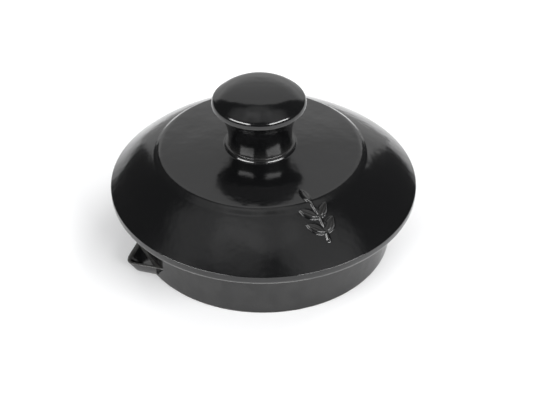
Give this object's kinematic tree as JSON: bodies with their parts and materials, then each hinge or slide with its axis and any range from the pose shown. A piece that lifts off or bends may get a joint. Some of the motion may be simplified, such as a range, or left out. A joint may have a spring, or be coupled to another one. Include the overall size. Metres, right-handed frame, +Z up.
{
  "type": "ceramic pot lid",
  "caption": "Round glazed black ceramic pot lid: skirt that drops into the pot, rounded rim, domed top with a raised middle, mushroom knob and a dished locking lug low on the skirt",
  "frame": {"origin": "on the lid's axis, at the foot of the skirt, which is the bottom of the whole lid", "axes": "+Z up along the lid's axis through the knob; -Y is the side that faces the viewer in the picture, +X is to the viewer's right"},
  "size_m": [0.104, 0.104, 0.0593],
  "materials": {
    "glaze": "gloss"
  },
  "bodies": {
    "root": {"lid": "glaze"}
  },
  "joints": []
}
